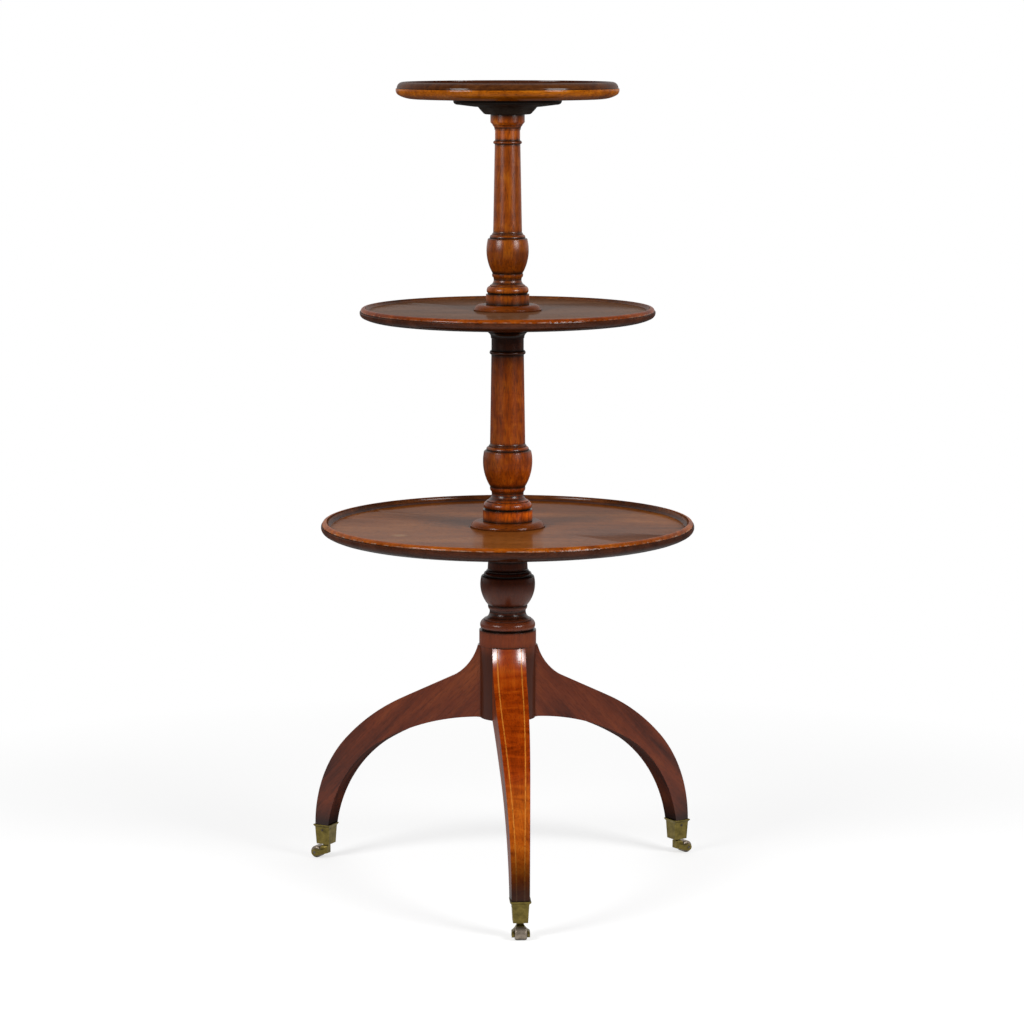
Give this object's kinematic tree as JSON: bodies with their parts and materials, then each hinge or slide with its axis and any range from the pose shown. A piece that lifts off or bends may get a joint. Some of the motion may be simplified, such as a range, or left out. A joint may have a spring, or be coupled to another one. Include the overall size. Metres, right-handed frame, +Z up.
{
  "type": "dumbwaiter table",
  "caption": "Tiered round serving table: graduated dished trays that turn on a turned mahogany stem, on downswept legs with brass cap castors.",
  "frame": {"origin": "on the floor, on the axis of the stem", "axes": "+Z up along the stem, -Y towards the front leg, +X to the right seen from the front"},
  "size_m": [0.5868, 0.6089, 1.183],
  "materials": {
    "mahogany": "gloss",
    "dark_wood": "satin",
    "boxwood": "gloss",
    "brass": "satin",
    "roller_brass": "satin",
    "iron": "matte",
    "steel": "satin"
  },
  "bodies": {
    "stand": {"lower_column": "mahogany", "middle_column": "mahogany", "upper_column": "mahogany", "brace_plate": "iron", "brace_screws": "steel", "front_leg": "mahogany", "front_leg_stringing": "boxwood", "front_cap": "brass", "front_cap_pins": "steel", "right_leg": "mahogany", "right_leg_stringing": "boxwood", "right_cap": "brass", "right_cap_pins": "steel", "left_leg": "mahogany", "left_leg_stringing": "boxwood", "left_cap": "brass", "left_cap_pins": "steel"},
    "bottom_tier": {"bottom_tray": "mahogany", "bottom_collar": "mahogany"},
    "middle_tier": {"middle_tray": "mahogany", "middle_collar": "mahogany"},
    "top_tier": {"top_tray": "mahogany", "bearer_block": "dark_wood", "bearer_screws": "steel"},
    "front_castor": {"front_horn": "brass", "front_swivel_pin": "steel", "front_axle": "steel"},
    "front_wheel": {"front_roller": "roller_brass"},
    "right_castor": {"right_horn": "brass", "right_swivel_pin": "steel", "right_axle": "steel"},
    "right_wheel": {"right_roller": "roller_brass"},
    "left_castor": {"left_horn": "brass", "left_swivel_pin": "steel", "left_axle": "steel"},
    "left_wheel": {"left_roller": "roller_brass"}
  },
  "joints": [
    {"name": "bottom_tray_turn", "type": "hinge", "parent": "stand", "child": "bottom_tier", "pos_m": [0, 0, 0.5223], "axis": [0, 0, 1], "continuous": true},
    {"name": "middle_tray_turn", "type": "hinge", "parent": "stand", "child": "middle_tier", "pos_m": [0, 0, 0.8386], "axis": [0, 0, 1], "continuous": true},
    {"name": "top_tray_turn", "type": "hinge", "parent": "stand", "child": "top_tier", "pos_m": [0, 0, 1.1366], "axis": [0, 0, 1], "continuous": true},
    {"name": "front_castor_swivel", "type": "hinge", "parent": "stand", "child": "front_castor", "pos_m": [0, -0.31195, 0.0231], "axis": [0, 0, 1], "continuous": true},
    {"name": "front_roller_spin", "type": "hinge", "parent": "front_castor", "child": "front_wheel", "pos_m": [0, -0.32575, 0.0091], "axis": [1, 0, 0], "continuous": true},
    {"name": "right_castor_swivel", "type": "hinge", "parent": "stand", "child": "right_castor", "pos_m": [0.27016, 0.15598, 0.0231], "axis": [0, 0, 1], "continuous": true},
    {"name": "right_roller_spin", "type": "hinge", "parent": "right_castor", "child": "right_wheel", "pos_m": [0.28211, 0.16287, 0.0091], "axis": [-0.5, 0.866, 0], "continuous": true},
    {"name": "left_castor_swivel", "type": "hinge", "parent": "stand", "child": "left_castor", "pos_m": [-0.27016, 0.15598, 0.0231], "axis": [0, 0, 1], "continuous": true},
    {"name": "left_roller_spin", "type": "hinge", "parent": "left_castor", "child": "left_wheel", "pos_m": [-0.28211, 0.16287, 0.0091], "axis": [-0.5, -0.866, 0], "continuous": true}
  ]
}
